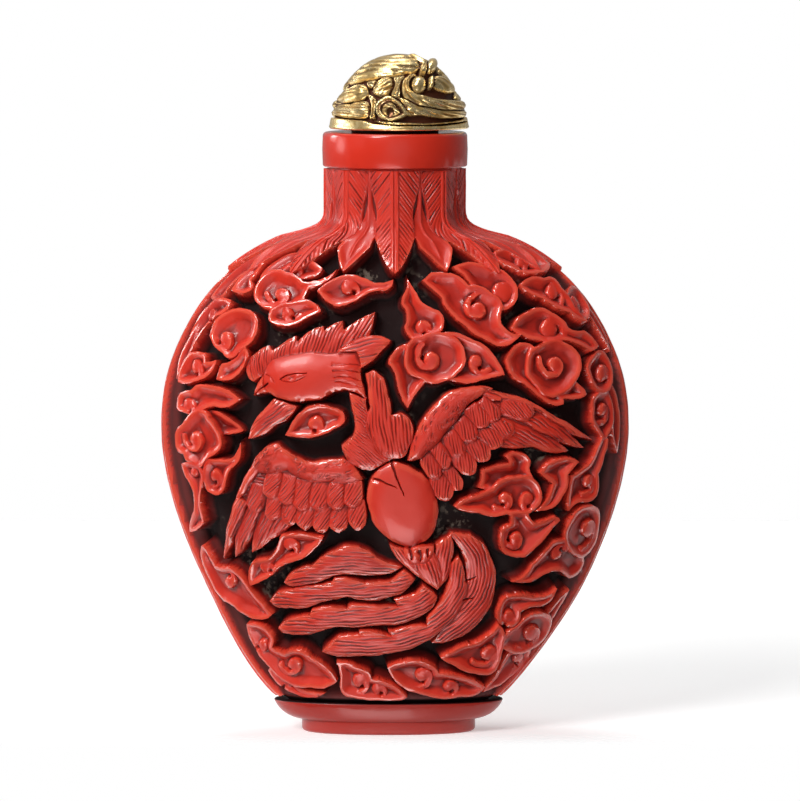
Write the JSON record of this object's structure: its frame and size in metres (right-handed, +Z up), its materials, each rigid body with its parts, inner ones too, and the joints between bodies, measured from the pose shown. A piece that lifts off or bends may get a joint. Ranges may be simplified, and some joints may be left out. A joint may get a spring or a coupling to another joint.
{
  "type": "snuff bottle",
  "caption": "Flattened ovoid carved red lacquer snuff bottle, phoenix among clouds in relief, oval foot, gilt domed stopper that lifts off.",
  "frame": {"origin": "on the plane the oval foot stands on, under the middle of the whole piece's box", "axes": "+Z up through the neck, +X to the right seen from the carved front, front faces -Y"},
  "size_m": [0.0466, 0.0229, 0.0676],
  "materials": {
    "lacquer": "carved cinnabar lacquer, glossy on the tops and dark with old dust in the ground",
    "plug": "dark cork and wax, dull",
    "gilt": "gilt metal, chased, worn bright on the tops and dark brown in the recesses"
  },
  "bodies": {
    "root": {"bottle": "lacquer", "stopper_plug": "plug", "stopper_cap": "gilt"}
  },
  "joints": []
}
